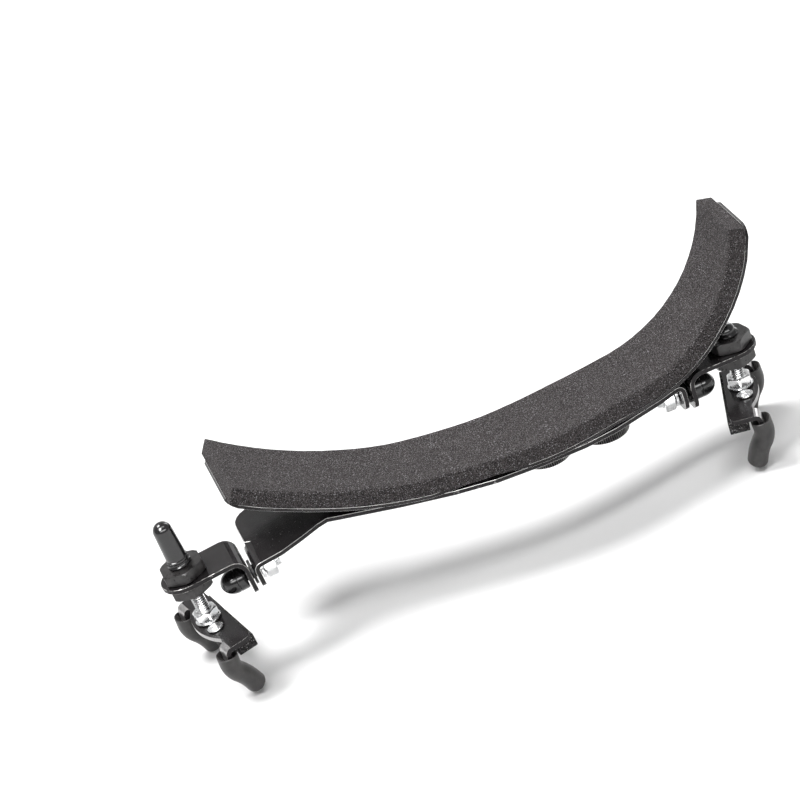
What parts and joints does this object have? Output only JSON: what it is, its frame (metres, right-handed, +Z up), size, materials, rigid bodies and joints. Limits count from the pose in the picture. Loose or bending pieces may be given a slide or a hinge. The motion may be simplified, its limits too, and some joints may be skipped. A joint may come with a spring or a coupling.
{
  "type": "violin shoulder rest",
  "caption": "Padded bent bar on a slotted base plate, with tilting brackets, threaded height screws and forked feet that grip a violin's edge.",
  "frame": {"origin": "middle of the bounding box's underside, on the surface that the four rubber sleeve tips stand on", "axes": "+X along the bar towards the end that bends up steeply, +Y towards the violin's neck side, +Z up, away from the violin's back"},
  "size_m": [0.2266, 0.068, 0.078],
  "materials": {
    "black_paint": "glossy black paint, worn bright along the edges",
    "foam": "charcoal open-cell foam with pale specks",
    "zinc": "bright zinc plating",
    "black_plastic": "satin black moulding",
    "gloss_black": "polished black",
    "rubber": "matt dark grey tube",
    "foot_foam": "dense black foam rubber with pale specks"
  },
  "bodies": {
    "base": {"base_plate": "black_paint", "left_tilt_bolt": "zinc", "left_tilt_nut": "zinc", "left_tilt_washer_inner": "zinc", "left_tilt_washer_outer": "black_plastic", "left_tilt_cap_nut": "gloss_black", "right_tilt_bolt": "zinc", "right_tilt_nut": "zinc", "right_tilt_washer_inner": "zinc", "right_tilt_washer_outer": "black_plastic", "right_tilt_cap_nut": "gloss_black"},
    "bar": {"top_plate": "black_paint", "foam_pad": "foam", "clamp_stud_1": "zinc", "clamp_stud_2": "zinc", "thumb_washer_1": "zinc", "thumb_washer_2": "zinc"},
    "thumb_nut_1": {"thumb_nut_1": "black_plastic"},
    "thumb_nut_2": {"thumb_nut_2": "black_plastic"},
    "left_bracket": {"left_bracket": "black_paint"},
    "left_lower_nut": {"left_lower_hand_nut": "black_plastic"},
    "left_upper_nut": {"left_upper_hand_nut": "black_plastic", "left_screw_cap": "gloss_black"},
    "left_screw": {"left_height_screw": "zinc", "left_lock_nut": "zinc"},
    "left_fork": {"left_fork": "black_paint", "left_foot_pad": "foot_foam", "left_pad_rivet": "zinc", "left_sleeve_near": "rubber", "left_sleeve_far": "rubber"},
    "right_bracket": {"right_bracket": "black_paint"},
    "right_lower_nut": {"right_lower_hand_nut": "black_plastic"},
    "right_upper_nut": {"right_upper_hand_nut": "black_plastic", "right_screw_cap": "gloss_black"},
    "right_screw": {"right_height_screw": "zinc", "right_lock_nut": "zinc"},
    "right_fork": {"right_fork": "black_paint", "right_foot_pad": "foot_foam", "right_pad_rivet": "zinc", "right_sleeve_near": "rubber", "right_sleeve_far": "rubber"}
  },
  "joints": [
    {"name": "bar_slide", "type": "slide", "parent": "base", "child": "bar", "axis": [0.9998, 0, -0.0183], "range_m": [-0.01, 0.0015]},
    {"name": "thumb_nut_1_turn", "type": "hinge", "parent": "bar", "child": "thumb_nut_1", "pos_m": [0.02376, -0.00965, 0.02568], "axis": [0.0183, 0, 0.9998], "range_deg": [-720, 0]},
    {"name": "thumb_nut_2_turn", "type": "hinge", "parent": "bar", "child": "thumb_nut_2", "pos_m": [0.04536, -0.00965, 0.02529], "axis": [0.0183, 0, 0.9998], "range_deg": [-720, 0]},
    {"name": "left_tilt", "type": "hinge", "parent": "base", "child": "left_bracket", "pos_m": [-0.10345, -0.00855, 0.02877], "axis": [0.997, 0, 0.0776], "range_deg": [-10, 10]},
    {"name": "left_lower_nut_turn", "type": "hinge", "parent": "left_bracket", "child": "left_lower_nut", "pos_m": [-0.10385, -0.00855, 0.03386], "axis": [-0.0776, 0, 0.997], "range_deg": [-1800, 2700]},
    {"name": "left_upper_nut_turn", "type": "hinge", "parent": "left_bracket", "child": "left_upper_nut", "pos_m": [-0.10433, -0.00855, 0.04004], "axis": [-0.0776, 0, 0.997], "range_deg": [-1800, 2700]},
    {"name": "left_height", "type": "slide", "parent": "left_bracket", "child": "left_screw", "axis": [-0.0776, 0, 0.997], "range_m": [-0.006, 0.004]},
    {"name": "left_fork_swivel", "type": "hinge", "parent": "left_screw", "child": "left_fork", "pos_m": [-0.1028, -0.00855, 0.0204], "axis": [-0.0776, 0, 0.997], "range_deg": [-12, 12]},
    {"name": "right_tilt", "type": "hinge", "parent": "base", "child": "right_bracket", "pos_m": [0.09549, -0.00855, 0.02677], "axis": [0.9998, 0, -0.0183], "range_deg": [-10, 10]},
    {"name": "right_lower_nut_turn", "type": "hinge", "parent": "right_bracket", "child": "right_lower_nut", "pos_m": [0.09556, -0.00855, 0.03067], "axis": [0.0183, 0, 0.9998], "range_deg": [-720, 1080]},
    {"name": "right_upper_nut_turn", "type": "hinge", "parent": "right_bracket", "child": "right_upper_nut", "pos_m": [0.09568, -0.00855, 0.03687], "axis": [0.0183, 0, 0.9998], "range_deg": [-720, 1080]},
    {"name": "right_height", "type": "slide", "parent": "right_bracket", "child": "right_screw", "axis": [0.0183, 0, 0.9998], "range_m": [-0.0024, 0.0016]},
    {"name": "right_fork_swivel", "type": "hinge", "parent": "right_screw", "child": "right_fork", "pos_m": [0.09538, -0.00855, 0.02047], "axis": [0.0183, 0, 0.9998], "range_deg": [-12, 12]}
  ]
}
